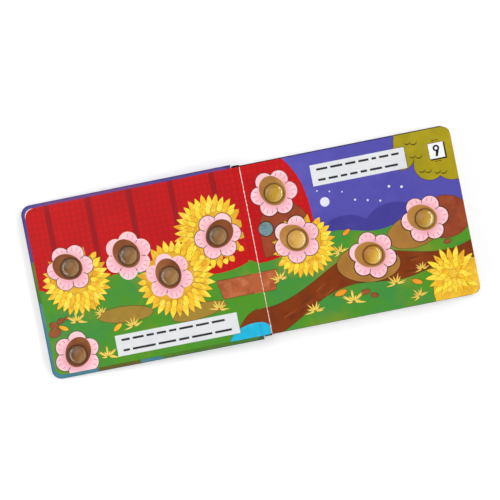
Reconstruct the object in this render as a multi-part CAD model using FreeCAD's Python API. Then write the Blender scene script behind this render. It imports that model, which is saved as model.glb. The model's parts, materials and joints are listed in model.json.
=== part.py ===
import FreeCAD, Part
import math
import os

# An open board book with press-in poppers, in millimetres. +X runs along the book, +Y to the head, +Z up.
# The first leaf and the front cover lie open on the left, and the page block lies on the back cover.
# Until the last step x = 0 is the fold, where the gutter strip meets the page block, and z = 0 is the table.

# Pages
page_height = 181.0
left_page_width = 226.0
right_page_width = 226.6
page_corner = 9.0
block_leaves = 3
leaf_groove_width = 0.3
leaf_groove_depth = 0.5

# Plies of one leaf, from its top: the upper card, the pocket round the popper's flange, and the lower card
upper_card = 0.8
lower_card = 0.4
print_thickness = 0.12

# Gutter strip between the two pages
gutter_width = 9.1
gutter_card = 0.6
crease_gap = 0.45

# Covers
cover_thickness = 2.5
front_overhang_head = 4.1
front_overhang_tail = 4.4
front_overhang_fore = 4.8
front_corner = 10.5
back_overhang_head = 2.0
back_overhang_tail = 1.4
back_overhang_fore = 0.5
back_joint = 1.5
cover_edge_round = 0.5
wrap_thickness = 0.1
spine_paper = 0.4

# Poppers
popper_radius = 10.0
popper_rise = 3.0
popper_travel = 2.2
popper_wall = 0.5
flange_width = 2.0
flange_thickness = 0.6
bead_width = 2.1
bead_height = 1.1
bead_root_height = 0.7
hole_clearance = 0.3
pocket_clearance = 0.5
seat_clearance = 0.3

# Room between the moving bodies
body_gap = 0.3

# Worked out from the sizes above
pocket_depth = upper_card + seat_clearance + flange_thickness + popper_travel + seat_clearance
leaf_thickness = pocket_depth + lower_card
block_thickness = block_leaves * leaf_thickness
block_base = cover_thickness + body_gap
page_top = block_base + block_thickness
closed_gap = popper_rise + body_gap
left_stack = cover_thickness + leaf_thickness
left_inner = -gutter_width - body_gap
left_fore = left_inner - left_page_width
board_fore = left_fore - front_overhang_fore
head = page_height / 2
tail = -page_height / 2
fore = right_page_width
flange_radius = popper_radius + flange_width
hole_radius = popper_radius + hole_clearance
pocket_radius = flange_radius + pocket_clearance
hinge_x = -gutter_width / 2
hinge_z = page_top + closed_gap / 2

# The front cover slopes from the page block's top down to the table, where its rounded fore-edge rests
edge_round = min(cover_edge_round, 0.4 * cover_thickness)
slope_reach = hinge_x - board_fore - edge_round
slope_drop = hinge_z - page_top + left_stack - edge_round
open_slope = math.asin((hinge_z - edge_round) / math.hypot(slope_reach, slope_drop))
open_slope -= math.atan(slope_drop / slope_reach)
upper_drop = slope_drop - cover_thickness + 2 * edge_round
board_left = hinge_x - slope_reach * math.cos(open_slope) + upper_drop * math.sin(open_slope) - edge_round
to_centre_x = -(board_left + fore + back_overhang_fore) / 2
to_centre_y = (front_overhang_tail - front_overhang_head) / 2

# Popper places. Those near a fore-edge, the fold or the tail keep their distance from it
left_poppers = (
    (left_fore + 37.2, 20.1),
    (left_fore + 100.9, 20.7),
    (left_inner - 86.1, -9.3),
    (left_inner - 27.3, 22.8),
    (left_fore + 26.6, tail + 18.1),
)
right_poppers = (
    (30.9, 55.6),
    (45.1, 2.8),
    (121.0, -29.2),
    (fore - 43.8, -2.0),
)

# Motifs
blossom_reach = 15.5
petal_radius = 9.5
outline_width = 0.7
centre_offset = 3.0
centre_half_length = 16.5
centre_half_width = 13.5
stripe_pitch = 45.0
stripe_width = 6.0
stripe_margin = 21.4
gutter_green_top = -14.0
gutter_brown_height = 28.0

# Panels and the number tile
line_height = 2.3
word_gap = 3.2
left_panel_width = 132.7
left_panel_height = 22.5
left_panel_margin = 23.5
left_panel_foot = 7.4
right_panel_width = 102.0
right_panel_height = 22.7
right_panel_start = 73.3
right_panel_head = 13.5
bush_behind_panel = 4.7
tile_size = 16.4
tile_margin = 9.6
tile_head = 15.7
tile_shadow = 1.2
digit_radius = 3.5
digit_stroke = 1.9
smallest_patch = 1.0


def spot(x, y, z=0.0):
    return FreeCAD.Vector(x, y, z)


def polygon(points):
    """A flat face with straight sides."""
    corners = [spot(x, y) for x, y in points]
    return Part.Face(Part.makePolygon(corners + corners[:1]))


def rectangle(x0, x1, y0, y1):
    return polygon([(x0, y0), (x1, y0), (x1, y1), (x0, y1)])


def disc(x, y, radius):
    circle = Part.Circle(spot(x, y), spot(0, 0, 1), radius)
    return Part.Face(Part.Wire(circle.toShape()))


def oval(x, y, half_length, half_width, turn=0.0):
    """A flat ellipse, turned by so many degrees about its centre."""
    ellipse = Part.Ellipse(spot(0, 0), half_length, half_width)
    face = Part.Face(Part.Wire(ellipse.toShape()))
    face.rotate(spot(0, 0), spot(0, 0, 1), turn)
    face.translate(spot(x, y))
    return face


def land(points, floor):
    """The region between a wavy line through the points and a level line at floor."""
    curve = Part.BSplineCurve()
    curve.interpolate([spot(x, y) for x, y in points])
    first = spot(*points[0])
    last = spot(*points[-1])
    below_last = spot(last.x, floor)
    below_first = spot(first.x, floor)
    sides = [
        curve.toShape(),
        Part.makeLine(last, below_last),
        Part.makeLine(below_last, below_first),
        Part.makeLine(below_first, first),
    ]
    return Part.Face(Part.Wire(sides))


def merged(faces):
    """One region from several that may cross each other."""
    if len(faces) == 1:
        return faces[0]
    return faces[0].fuse(faces[1:]).removeSplitter()


def blossom(x, y, grow=0.0, petals=6, turn=0.0):
    """Round petals about a middle disc, with every edge moved out by grow."""
    parts = [disc(x, y, blossom_reach + grow)]
    for k in range(petals):
        angle = math.radians(turn + 360.0 * k / petals)
        petal_x = x + blossom_reach * math.cos(angle)
        petal_y = y + blossom_reach * math.sin(angle)
        parts.append(disc(petal_x, petal_y, petal_radius + grow))
    return merged(parts)


def blossoms(places, grow=0.0):
    """A blossom round each popper, each turned a little further."""
    return merged([blossom(x, y, grow, turn=20.0 * k) for k, (x, y) in enumerate(places)])


def rosette(x, y, outer, inner, tips=16, turn=0.0):
    """A many-pointed star of pointed leaves."""
    corners = []
    for k in range(2 * tips):
        radius = inner if k % 2 else outer
        angle = math.radians(turn + 180.0 * k / tips)
        corners.append((x + radius * math.cos(angle), y + radius * math.sin(angle)))
    return polygon(corners)


def rounded(x0, x1, y0, y1, radius, left=False, right=False):
    """A rectangle whose corners are round on the sides that are named."""
    face = rectangle(x0, x1, y0, y1)
    corners = []
    if left:
        corners += [(x0, y0, 1, 1), (x0, y1, 1, -1)]
    if right:
        corners += [(x1, y0, -1, 1), (x1, y1, -1, -1)]
    for x, y, inward_x, inward_y in corners:
        centre_x = x + inward_x * radius
        centre_y = y + inward_y * radius
        square = rectangle(min(x, centre_x), max(x, centre_x), min(y, centre_y), max(y, centre_y))
        face = face.cut(square.cut(disc(centre_x, centre_y, radius)))
    return face


def slab(region, bottom, thickness):
    """Every patch of a flat region, made solid. Slivers are left out."""
    solids = []
    for face in region.Faces:
        if face.Area < smallest_patch:
            continue
        solid = face.extrude(spot(0, 0, thickness))
        solid.translate(spot(0, 0, bottom))
        solids.append(solid)
    return solids[0] if len(solids) == 1 else Part.makeCompound(solids)


def cylinder(x, y, radius, bottom, top):
    return Part.makeCylinder(radius, top - bottom, spot(x, y, bottom))


def lay_open(shape):
    """Turns a level piece of the front cover about the hinge, down to the table."""
    turned = shape.copy()
    turned.rotate(spot(hinge_x, 0, hinge_z), spot(0, 1, 0), -math.degrees(open_slope))
    return turned


def write(node, shape):
    placed = shape.copy()
    placed.translate(spot(to_centre_x, to_centre_y))
    placed.exportStep(f"parts/{node}.step")


# Boards and leaves

left_page = rounded(left_fore, left_inner, tail, head, page_corner, left=True)
right_page = rounded(0.0, fore, tail, head, page_corner, right=True)


def cover_board(x0, x1, y0, y1, corner, bottom, **rounded_sides):
    """A wrapped board, with its long edges rounded by the turned paper."""
    board = slab(rounded(x0, x1, y0, y1, corner, **rounded_sides), bottom, cover_thickness)
    level = [edge for edge in board.Edges if edge.BoundBox.ZLength < 1e-6]
    return board.makeFillet(edge_round, level)


def with_pockets(leaf, places, top):
    """Cuts the popper holes through the upper card, and the wider pockets under it."""
    for x, y in places:
        leaf = leaf.cut(cylinder(x, y, hole_radius, top - upper_card - 0.1, top + 0.1))
        leaf = leaf.cut(cylinder(x, y, pocket_radius, top - pocket_depth, top - upper_card))
    return leaf


def first_leaf():
    leaf = slab(left_page, page_top - leaf_thickness, leaf_thickness - print_thickness)
    return with_pockets(leaf, left_poppers, page_top)


def page_block():
    """The leaves that stay together, with a groove round three edges wherever two leaves meet."""
    block = slab(right_page, block_base, block_thickness - print_thickness)
    core = rounded(0.0, fore - leaf_groove_depth, tail + leaf_groove_depth, head - leaf_groove_depth,
                   page_corner - leaf_groove_depth, right=True)
    for k in range(1, block_leaves):
        level = block_base + k * leaf_thickness - leaf_groove_width / 2
        ring = slab(right_page, level, leaf_groove_width).cut(slab(core, level, leaf_groove_width))
        block = block.cut(ring)
    return with_pockets(block, right_poppers, page_top)


# The gutter

def gutter_strip():
    strip = rectangle(-gutter_width + crease_gap, 0.0, tail, head)
    return slab(strip, page_top - gutter_card, gutter_card - print_thickness)


def gutter_band(low, high):
    """A stretch of the strip's print."""
    band = rectangle(-gutter_width + crease_gap, 0.0, low, high)
    return slab(band, page_top - print_thickness, print_thickness)


def spine_cover():
    """Dark paper on the back of the block, turned under the gutter strip."""
    low = tail - back_overhang_tail
    high = head + back_overhang_head
    upright = rectangle(-spine_paper, 0.0, low, high)
    upright = slab(upright, block_base, block_thickness - gutter_card)
    under = rectangle(-gutter_width + 1.5 * crease_gap, 0.0, low, high)
    under = slab(under, page_top - gutter_card - spine_paper, spine_paper)
    return upright.fuse(under).removeSplitter()


# Poppers

def arc(start, middle, end):
    return Part.Arc(start, middle, end).toShape()


def popper_shape():
    """A thin domed button with a bead round its rim and a flange below, with z = 0 at the page's face."""
    flange_top = -upper_card - seat_clearance
    flange_bottom = flange_top - flange_thickness
    bead_inner = popper_radius - bead_width
    bead_outer_top = popper_radius - bead_width / 3
    bead_inner_top = popper_radius - 2 * bead_width / 3
    bead_foot = bead_height / 3

    def at(radius, height):
        return spot(radius, 0, height)

    # The middle point of the dome's profile
    dome_rise = popper_rise - bead_root_height
    sphere = (bead_inner ** 2 + dome_rise ** 2) / (2 * dome_rise)
    half = math.asin(bead_inner / sphere) / 2
    dome_middle = at(sphere * math.sin(half), popper_rise - sphere * (1 - math.cos(half)))

    inner_foot = bead_root_height - popper_wall
    inner_wall = popper_radius - popper_wall
    profile = [
        Part.makeLine(at(inner_wall, flange_bottom), at(flange_radius, flange_bottom)),
        Part.makeLine(at(flange_radius, flange_bottom), at(flange_radius, flange_top)),
        Part.makeLine(at(flange_radius, flange_top), at(popper_radius, flange_top)),
        Part.makeLine(at(popper_radius, flange_top), at(popper_radius, bead_foot)),
        Part.makeLine(at(popper_radius, bead_foot), at(bead_outer_top, bead_height)),
        Part.makeLine(at(bead_outer_top, bead_height), at(bead_inner_top, bead_height)),
        Part.makeLine(at(bead_inner_top, bead_height), at(bead_inner, bead_root_height)),
        arc(at(bead_inner, bead_root_height), dome_middle, at(0, popper_rise)),
        Part.makeLine(at(0, popper_rise), at(0, popper_rise - popper_wall)),
        Part.makeLine(at(0, popper_rise - popper_wall), at(bead_inner, inner_foot)),
        Part.makeLine(at(bead_inner, inner_foot), at(inner_wall, inner_foot)),
        Part.makeLine(at(inner_wall, inner_foot), at(inner_wall, flange_bottom)),
    ]
    face = Part.Face(Part.Wire(profile))
    return face.revolve(spot(0, 0, 0), spot(0, 0, 1), 360)


# Turned-in wrap on the front board: a border in four colours

def border_fields():
    """Each colour's share of the border, by where it starts and ends along the edge."""
    low = tail - front_overhang_tail + edge_round
    high = head + front_overhang_head - edge_round
    left = board_fore + edge_round
    ring = rounded(left, left_inner, low, high, front_corner - edge_round, left=True).cut(left_page)
    purple_foot = head - 68.0
    green_foot = tail + 81.0
    teal_turn = left_fore + 45.0
    olive_end = teal_turn + 47.0
    teal_end = olive_end + 25.0
    middle = (left_fore + left_inner) / 2
    return {
        "border_purple": ring.common(rectangle(left, left_inner, purple_foot, high)),
        "border_green": ring.common(merged([
            rectangle(left, middle, green_foot, purple_foot),
            rectangle(teal_end, left_inner, low, green_foot),
        ])),
        "border_teal": ring.common(merged([
            rectangle(left, teal_turn, low, green_foot),
            rectangle(olive_end, teal_end, low, green_foot),
        ])),
        "border_olive": ring.common(rectangle(teal_turn, olive_end, low, green_foot)),
    }


# Print: flat fields of colour, listed from the lowest to the one on top

def stripes(x_from, x_to):
    """Upright bands at an even pitch."""
    count = int((x_to - x_from) / stripe_pitch) + 1
    bands = [rectangle(x_from + k * stripe_pitch, x_from + k * stripe_pitch + stripe_width, 0.0, head)
             for k in range(count)]
    return Part.makeCompound(bands)


def panel_lines(x0, y0, y1, rows):
    """Plain bars on a pale panel. Each row is a list of bar lengths."""
    bars = []
    for k, lengths in enumerate(rows):
        level = y1 - (y1 - y0) * (2 * k + 1) / (2 * len(rows))
        x = x0 + 2 * word_gap
        for length in lengths:
            bars.append(rectangle(x, x + length, level - line_height / 2, level + line_height / 2))
            x += length + word_gap
    return Part.makeCompound(bars)


def popper_centres(places, turns):
    """An oval round each popper, a little off its middle towards the side that turn points to."""
    ovals = []
    for (x, y), turn in zip(places, turns):
        angle = math.radians(turn)
        ovals.append(oval(x + centre_offset * math.cos(angle), y + centre_offset * math.sin(angle),
                          centre_half_length, centre_half_width, turn))
    return Part.makeCompound(ovals)


def left_print():
    one, two, three, four, five = left_poppers
    panel_x = left_inner - left_panel_margin - left_panel_width
    panel_y = tail + left_panel_foot
    panel_top = panel_y + left_panel_height
    meadow = [(left_fore - 5, 6), (left_fore + 45, -4), (left_fore + 85, 4), (left_inner - 90, -6),
              (left_inner - 45, -16), (left_inner + 5, -8)]
    return [
        ("left_red_field", left_page),
        ("left_red_stripes", stripes(left_fore + stripe_margin, left_inner - stripe_width)),
        ("left_green_field", land(meadow, tail - 5)),
        ("left_tan_mounds", merged([
            oval(left_fore + 86, -40, 30, 9, -4),
            oval(left_inner - 62, -52, 30, 8, 6),
        ])),
        ("left_gold_rosettes", merged([
            rosette(one[0] + 4, one[1] - 15, 37, 27),
            rosette(three[0] + 6, three[1] - 4, 42, 31, turn=7),
            rosette(four[0] - 6, four[1] + 6, 40, 29, turn=4),
        ])),
        ("left_terracotta_pot", polygon([
            (left_inner - 34, -45), (left_inner, -45), (left_inner, -24), (left_inner - 38, -24),
        ])),
        ("left_outlines", blossoms(left_poppers, outline_width)),
        ("left_pink_blossoms", blossoms(left_poppers)),
        ("left_brown_centres", popper_centres(left_poppers, (150, 120, 100, 40, 60))),
        ("left_orange_seeds", Part.makeCompound([
            oval(left_fore + 54, -24, 6.5, 3, 15),
            oval(left_fore + 18, -42, 5.5, 2.6, -30),
            oval(left_fore + 75, -52, 6, 2.8, 35),
        ])),
        ("left_cyan_pond", oval(left_inner - 12, tail + 2, 24, 13, 10)),
        ("left_pale_panel", rectangle(panel_x, panel_x + left_panel_width, panel_y, panel_top)),
        ("left_panel_lines", panel_lines(panel_x, panel_y, panel_top, [
            (9, 12, 8, 10, 8, 15, 14, 14), (7, 25, 19, 11, 22, 18),
        ])),
    ]


def number_nine(x, y):
    """A plain figure nine: a ring with a straight slanting stem, about the middle x and y."""
    ring_y = y + digit_radius - digit_stroke / 2
    foot_y = ring_y - 2.5 * digit_radius
    stem = polygon([
        (x, ring_y), (x - digit_stroke, foot_y), (x + digit_stroke / 4, foot_y), (x + digit_radius, ring_y),
    ])
    return merged([disc(x, ring_y, digit_radius), stem]).cut(disc(x, ring_y, digit_radius - digit_stroke))


def right_print():
    six, seven, eight, nine = right_poppers
    panel_x = right_panel_start
    panel_top = head - right_panel_head
    panel_y = panel_top - right_panel_height
    tile_x = fore - tile_margin - tile_size
    tile_y = head - tile_head - tile_size
    horizon = [(-5, -14), (40, -8), (85, 4), (130, -4), (175, 6), (fore + 5, -2)]
    stream = [(-5, -62), (28, -56), (62, -40), (100, -24), (150, -30), (190, -38), (fore + 5, -30)]
    bank = [(-5, -95), (30, -82), (60, -65), (95, -56), (150, -60), (195, -52), (fore + 5, -60)]
    red_edge = [(-5, head + 5), (40, head + 5), (58, 70), (66, 30), (64, -5), (60, -20)]
    sky_dots = [disc(76 + 38 * k % 101, 49 - 17 * k % 24, 0.8 + 0.3 * (k % 3)) for k in range(8)]
    panel_end = panel_x + right_panel_width
    return [
        ("right_violet_sky", right_page),
        ("right_sky_dots", merged(sky_dots + [disc(82, 36, 5)])),
        ("right_violet_hills", merged([
            oval(98, -4, 30, 22), oval(150, -6, 34, 28), oval(206, -8, 30, 18),
        ])),
        ("right_red_field", land(red_edge, -25)),
        ("right_green_field", land(horizon, tail - 5)),
        ("right_brown_stream", land(stream, tail - 25).cut(land(bank, tail - 25))),
        ("right_tan_patches", merged([
            oval(eight[0] - 6, eight[1] - 8, 34, 20, -8),
            oval(nine[0] - 12, nine[1] - 10, 32, 18, 10),
        ])),
        ("right_brown_hill", oval(fore - 22, -4, 27, 23)),
        ("right_olive_bush", merged([
            disc(fore - 12, head - 12, 22), disc(fore - 42, head - 10, 20), disc(fore - 4, head - 39, 19),
            disc(fore - 28, head - 37, 17), disc(panel_end - bush_behind_panel, head - 24, 14),
        ])),
        ("right_terracotta_arch", merged([rectangle(8, 62, -10, 18), disc(35, 18, 27)])),
        ("right_teal_window", disc(15, 20, 8)),
        ("right_gold_rosettes", rosette(seven[0] + 6, seven[1] - 8, 34, 25, turn=5)),
        ("right_outlines", blossoms(right_poppers, outline_width)),
        ("right_pink_blossoms", blossoms(right_poppers)),
        ("right_tan_centres", popper_centres(right_poppers, (110, 140, 160, 150))),
        ("right_orange_seeds", Part.makeCompound([
            oval(80, -62, 7, 3.2, 12), oval(162, -66, 6, 2.8, -25), oval(98, 0, 5, 2.4, 30),
        ])),
        ("right_gold_mound", disc(fore - 16, tail + 8, 34)),
        ("right_pale_panel", rectangle(panel_x, panel_x + right_panel_width, panel_y, panel_top)),
        ("right_panel_lines", panel_lines(panel_x, panel_y, panel_top, [
            (12, 13, 11, 11, 5, 10, 8), (8, 10, 7, 8, 7, 13, 14),
        ])),
        ("tile_shadow", rectangle(tile_x + tile_shadow, tile_x + tile_size + tile_shadow,
                                  tile_y - tile_shadow, tile_y + tile_size - tile_shadow)),
        ("number_tile", rectangle(tile_x, tile_x + tile_size, tile_y, tile_y + tile_size)),
        ("number_nine", number_nine(tile_x + tile_size / 2, tile_y + tile_size / 2)),
    ]


def seen_fields(fields, page, places):
    """Cuts each field by the page, the popper holes and every field above it."""
    holes = Part.makeCompound([disc(x, y, hole_radius) for x, y in places])
    seen = {}
    for k, (node, region) in enumerate(fields):
        region = region.common(page).cut([holes] + [above for _, above in fields[k + 1:]])
        seen[node] = slab(region, page_top - print_thickness, print_thickness)
    return seen


def main():
    os.makedirs("parts", exist_ok=True)
    board_bottom = page_top - left_stack
    front_board = cover_board(board_fore, left_inner, tail - front_overhang_tail, head + front_overhang_head,
                              front_corner, board_bottom, left=True)
    back_board = cover_board(back_joint, fore + back_overhang_fore, tail - back_overhang_tail,
                             head + back_overhang_head, page_corner, 0.0, right=True)
    write("front_cover_board", lay_open(front_board))
    write("back_cover_board", back_board)
    write("first_leaf", lay_open(first_leaf()))
    write("page_block", page_block())
    write("gutter_strip", gutter_strip())
    brown_top = tail + gutter_brown_height
    write("gutter_red_band", gutter_band(gutter_green_top, head))
    write("gutter_green_band", gutter_band(brown_top, gutter_green_top))
    write("gutter_brown_band", gutter_band(tail, brown_top))
    write("spine_cover", spine_cover())
    popper = popper_shape()
    for k, (x, y) in enumerate(left_poppers + right_poppers):
        placed = popper.copy()
        placed.translate(spot(x, y, page_top))
        if k < len(left_poppers):
            placed = lay_open(placed)
        write(f"popper_{k + 1}", placed)
    for node, region in border_fields().items():
        write(node, lay_open(slab(region, page_top - leaf_thickness, wrap_thickness)))
    for node, solids in seen_fields(left_print(), left_page, left_poppers).items():
        write(node, lay_open(solids))
    for node, solids in seen_fields(right_print(), right_page, right_poppers).items():
        write(node, solids)
    print("page top", page_top, "leaf", leaf_thickness, "slope in degrees", math.degrees(open_slope))
    print("front hinge", hinge_x + to_centre_x, hinge_z)
    print("left popper axis", -math.sin(open_slope), 0, math.cos(open_slope))
    print("back hinge", to_centre_x, cover_thickness + body_gap / 2)


main()
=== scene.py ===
import json
import math
import random

import bmesh
import bpy
from mathutils import Matrix, Vector


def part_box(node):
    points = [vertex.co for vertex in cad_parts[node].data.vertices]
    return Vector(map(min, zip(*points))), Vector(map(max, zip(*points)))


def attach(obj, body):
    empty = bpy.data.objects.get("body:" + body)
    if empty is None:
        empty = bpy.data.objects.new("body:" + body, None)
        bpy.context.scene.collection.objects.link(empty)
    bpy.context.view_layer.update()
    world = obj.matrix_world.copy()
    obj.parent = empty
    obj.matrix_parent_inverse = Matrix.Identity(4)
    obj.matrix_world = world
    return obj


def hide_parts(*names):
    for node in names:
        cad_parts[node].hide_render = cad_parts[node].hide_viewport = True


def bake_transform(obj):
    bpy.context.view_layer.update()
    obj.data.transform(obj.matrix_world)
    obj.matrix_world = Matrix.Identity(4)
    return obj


# An open board book with domed poppers, in metres.
# The pages lie on the right, and the front cover with the first leaf lies open on the left.

MM = 0.001

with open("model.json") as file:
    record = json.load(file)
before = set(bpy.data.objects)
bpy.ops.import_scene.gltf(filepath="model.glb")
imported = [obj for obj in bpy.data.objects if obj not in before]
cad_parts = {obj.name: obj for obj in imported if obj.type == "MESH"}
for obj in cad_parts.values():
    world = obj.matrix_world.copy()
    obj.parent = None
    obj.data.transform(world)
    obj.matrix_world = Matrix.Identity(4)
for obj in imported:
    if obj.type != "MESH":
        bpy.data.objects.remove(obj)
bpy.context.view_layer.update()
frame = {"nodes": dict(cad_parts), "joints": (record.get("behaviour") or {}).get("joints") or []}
nodes = frame["nodes"]
joints = {joint["name"]: joint for joint in frame["joints"]}

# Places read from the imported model
block_low, block_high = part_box("page_block")
leaf_low, leaf_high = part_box("first_leaf")
board_low, board_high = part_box("front_cover_board")
back_low, back_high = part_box("back_cover_board")
strip_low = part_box("gutter_strip")[0]
spine_low, spine_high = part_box("spine_cover")
fold_x = block_low.x
fore_x = block_high.x
inner_x = leaf_high.x
head_y = block_high.y
tail_y = block_low.y
page_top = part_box("right_violet_sky")[1].z
hinge = Vector(joints["front_cover_hinge"]["pos_m"])
slope = math.radians(joints["front_cover_hinge"]["range_deg"][1] - 180.0)
lay_open = Matrix.Translation(hinge) @ Matrix.Rotation(-slope, 4, "Y") @ Matrix.Translation(-hinge)
lay_level = lay_open.inverted()

# The first leaf's fore-edge on the level page, in millimetres
left_level_x = (lay_level @ Vector((leaf_low.x, 0, leaf_low.z + 3 * MM))).x / MM

POPPER_COUNT = 9
LEFT_COUNT = 5


def popper_spot(k):
    """The middle of popper k on its page's face, as the page lies level."""
    low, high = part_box(f"popper_{k}")
    middle = (low + high) / 2
    if k <= LEFT_COUNT:
        middle = lay_level @ middle
    return Vector((middle.x, middle.y, page_top))


popper_spots = [popper_spot(k) for k in range(1, POPPER_COUNT + 1)]
left_spots = popper_spots[:LEFT_COUNT]
right_spots = popper_spots[LEFT_COUNT:]


def ink(red, green, blue):
    """A colour from 0-255 values as the eye reads them."""
    parts = [value / 255 for value in (red, green, blue)]
    linear = [p / 12.92 if p <= 0.04045 else ((p + 0.055) / 1.055) ** 2.4 for p in parts]
    return (*linear, 1.0)


# Node helpers

COLOUR = "NodeSocketColor"
NUMBER = "NodeSocketFloat"
VECTOR = "NodeSocketVector"


def put(tree, kind, inputs=None, **settings):
    """A node with its settings and its inputs, which are values or the outputs of other nodes."""
    node = tree.nodes.new(kind)
    for key, value in settings.items():
        setattr(node, key, value)
    for socket, value in (inputs or {}).items():
        if isinstance(value, bpy.types.NodeSocket):
            tree.links.new(value, node.inputs[socket])
        else:
            node.inputs[socket].default_value = value
    return node


def sums(tree, operation, first, second=0.0):
    return put(tree, "ShaderNodeMath", {0: first, 1: second}, operation=operation).outputs[0]


def plus(tree, first, second):
    return sums(tree, "ADD", first, second)


def minus(tree, first, second):
    return sums(tree, "SUBTRACT", first, second)


def times(tree, first, second):
    return sums(tree, "MULTIPLY", first, second)


def mixed(tree, share, first, second):
    """Colour first where share is 0, and colour second where it is 1."""
    node = put(tree, "ShaderNodeMix", {"Factor": share}, data_type="RGBA")
    for socket, value in ((node.inputs[6], first), (node.inputs[7], second)):
        if isinstance(value, bpy.types.NodeSocket):
            tree.links.new(value, socket)
        else:
            socket.default_value = value
    return node.outputs[2]


def ramp(tree, value, low, high):
    """0 at low and 1 at high, with soft ends."""
    node = put(tree, "ShaderNodeMapRange", {0: value, 1: low, 2: high}, interpolation_type="SMOOTHSTEP")
    return node.outputs[0]


def place(tree):
    return put(tree, "ShaderNodeTexCoord").outputs["Object"]


def axes(tree):
    return put(tree, "ShaderNodeSeparateXYZ", {0: place(tree)}).outputs


def distance(tree, first, second):
    node = put(tree, "ShaderNodeVectorMath", {0: first, 1: second}, operation="DISTANCE")
    return node.outputs["Value"]


def noise(tree, scale, detail=2.0, vector=None, roughness=0.5):
    inputs = {"Vector": vector or place(tree), "Scale": scale, "Detail": detail, "Roughness": roughness}
    return put(tree, "ShaderNodeTexNoise", inputs).outputs["Fac"]


def new_group(name, inputs, outputs):
    tree = bpy.data.node_groups.new(name, "ShaderNodeTree")
    for label, kind, value in inputs:
        tree.interface.new_socket(name=label, in_out="INPUT", socket_type=kind).default_value = value
    for label, kind in outputs:
        tree.interface.new_socket(name=label, in_out="OUTPUT", socket_type=kind)
    given = tree.nodes.new("NodeGroupInput").outputs
    result = tree.nodes.new("NodeGroupOutput").inputs
    return tree, given, result


def use(tree, group, **inputs):
    """Places a group. Names of inputs are written with _ for spaces."""
    node = put(tree, "ShaderNodeGroup", node_tree=group)
    for label, value in inputs.items():
        socket = node.inputs[label.replace("_", " ")]
        if isinstance(value, bpy.types.NodeSocket):
            tree.links.new(value, socket)
        else:
            socket.default_value = value
    return node.outputs


# Shared effects

def make_printed_paper():
    """Printed paper under gloss film: sponge-like patches, mottle and paper grain."""
    tree, given, result = new_group(
        "printed paper",
        [("Colour", COLOUR, (0.5, 0.5, 0.5, 1)), ("Shade", COLOUR, (0.3, 0.3, 0.3, 1)),
         ("Light", COLOUR, (0.7, 0.7, 0.7, 1)), ("Patch size", NUMBER, 0.03),
         ("Shade strength", NUMBER, 0.4), ("Light strength", NUMBER, 0.3), ("Mottle", NUMBER, 0.05)],
        [("Colour", COLOUR), ("Roughness", NUMBER), ("Height", NUMBER)])
    spot = place(tree)
    scale = sums(tree, "DIVIDE", 1.0, given["Patch size"])
    shade_noise = noise(tree, scale, 3.0, spot, 0.55)
    shade_share = times(tree, ramp(tree, shade_noise, 0.42, 0.72), given["Shade strength"])
    moved = put(tree, "ShaderNodeVectorMath", {0: spot, 1: (0.37, 0.11, 0.0)}, operation="ADD").outputs[0]
    light_noise = noise(tree, scale, 3.0, moved, 0.55)
    light_share = times(tree, ramp(tree, light_noise, 0.46, 0.74), given["Light strength"])
    colour = mixed(tree, shade_share, given["Colour"], given["Shade"])
    colour = mixed(tree, light_share, colour, given["Light"])
    mottle = minus(tree, noise(tree, 260.0, 3.0, spot, 0.6), 0.5)
    grain = minus(tree, noise(tree, 2600.0, 1.0, spot), 0.5)
    change = times(tree, plus(tree, mottle, times(tree, grain, 0.6)), given["Mottle"])
    value = plus(tree, 1.0, times(tree, change, 2.0))
    bright = put(tree, "ShaderNodeHueSaturation", {"Color": colour, "Value": value}).outputs[0]
    film = noise(tree, 45.0, 2.0, spot)
    tree.links.new(bright, result["Colour"])
    tree.links.new(plus(tree, 0.3, times(tree, film, 0.16)), result["Roughness"])
    tree.links.new(plus(tree, film, times(tree, grain, 0.25)), result["Height"])
    return tree


def make_check_lines():
    """How much a faint check of soft lines darkens the print, from 0 to 1."""
    tree, given, result = new_group("check lines", [("Pitch", NUMBER, 0.006), ("Width", NUMBER, 0.3)],
                                    [("Share", NUMBER)])
    across = axes(tree)
    wobble = times(tree, noise(tree, 60.0, 1.0), 0.6)
    shares = []
    for axis in (0, 1):
        turns = plus(tree, sums(tree, "DIVIDE", across[axis], given["Pitch"]), wobble)
        wave = sums(tree, "SINE", times(tree, turns, 2 * math.pi))
        shares.append(ramp(tree, wave, minus(tree, 1.0, given["Width"]), 1.0))
    tree.links.new(sums(tree, "MAXIMUM", shares[0], shares[1]), result["Share"])
    return tree


def make_scuffs():
    """Where the film has worn through to pale paper."""
    tree, given, result = new_group("scuffs", [("Amount", NUMBER, 0.5), ("Size", NUMBER, 0.004)],
                                    [("Share", NUMBER)])
    scale = sums(tree, "DIVIDE", 1.0, given["Size"])
    spots = noise(tree, scale, 4.0, None, 0.7)
    low = minus(tree, 0.86, times(tree, given["Amount"], 0.3))
    tree.links.new(ramp(tree, spots, low, plus(tree, low, 0.06)), result["Share"])
    return tree


def make_popper_reach(name, spots):
    """The distance to the nearest of the popper middles."""
    tree, given, result = new_group(name, [], [("Distance", NUMBER)])
    spot = place(tree)
    nearest = None
    for middle in spots:
        gap = distance(tree, spot, middle)
        nearest = gap if nearest is None else sums(tree, "MINIMUM", nearest, gap)
    tree.links.new(nearest, result["Distance"])
    return tree


printed_paper = make_printed_paper()
check_lines = make_check_lines()
scuffs = make_scuffs()
left_reach = make_popper_reach("left popper reach", [lay_open @ spot for spot in left_spots])
right_reach = make_popper_reach("right popper reach", right_spots)


# Finishes

FILM_COAT = 0.06
FILM_ROUGHNESS = 0.25
PAPER_SPECULAR = 0.2
CHECK_PITCH = 0.0062
CHECK_WIDTH = 1.5
CHECK_STRENGTH = 0.34
paper_white = ink(236, 232, 226)


def new_material(name):
    material = bpy.data.materials.new(name)
    material.use_nodes = True
    tree = material.node_tree
    return material, tree, tree.nodes["Principled BSDF"]


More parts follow.
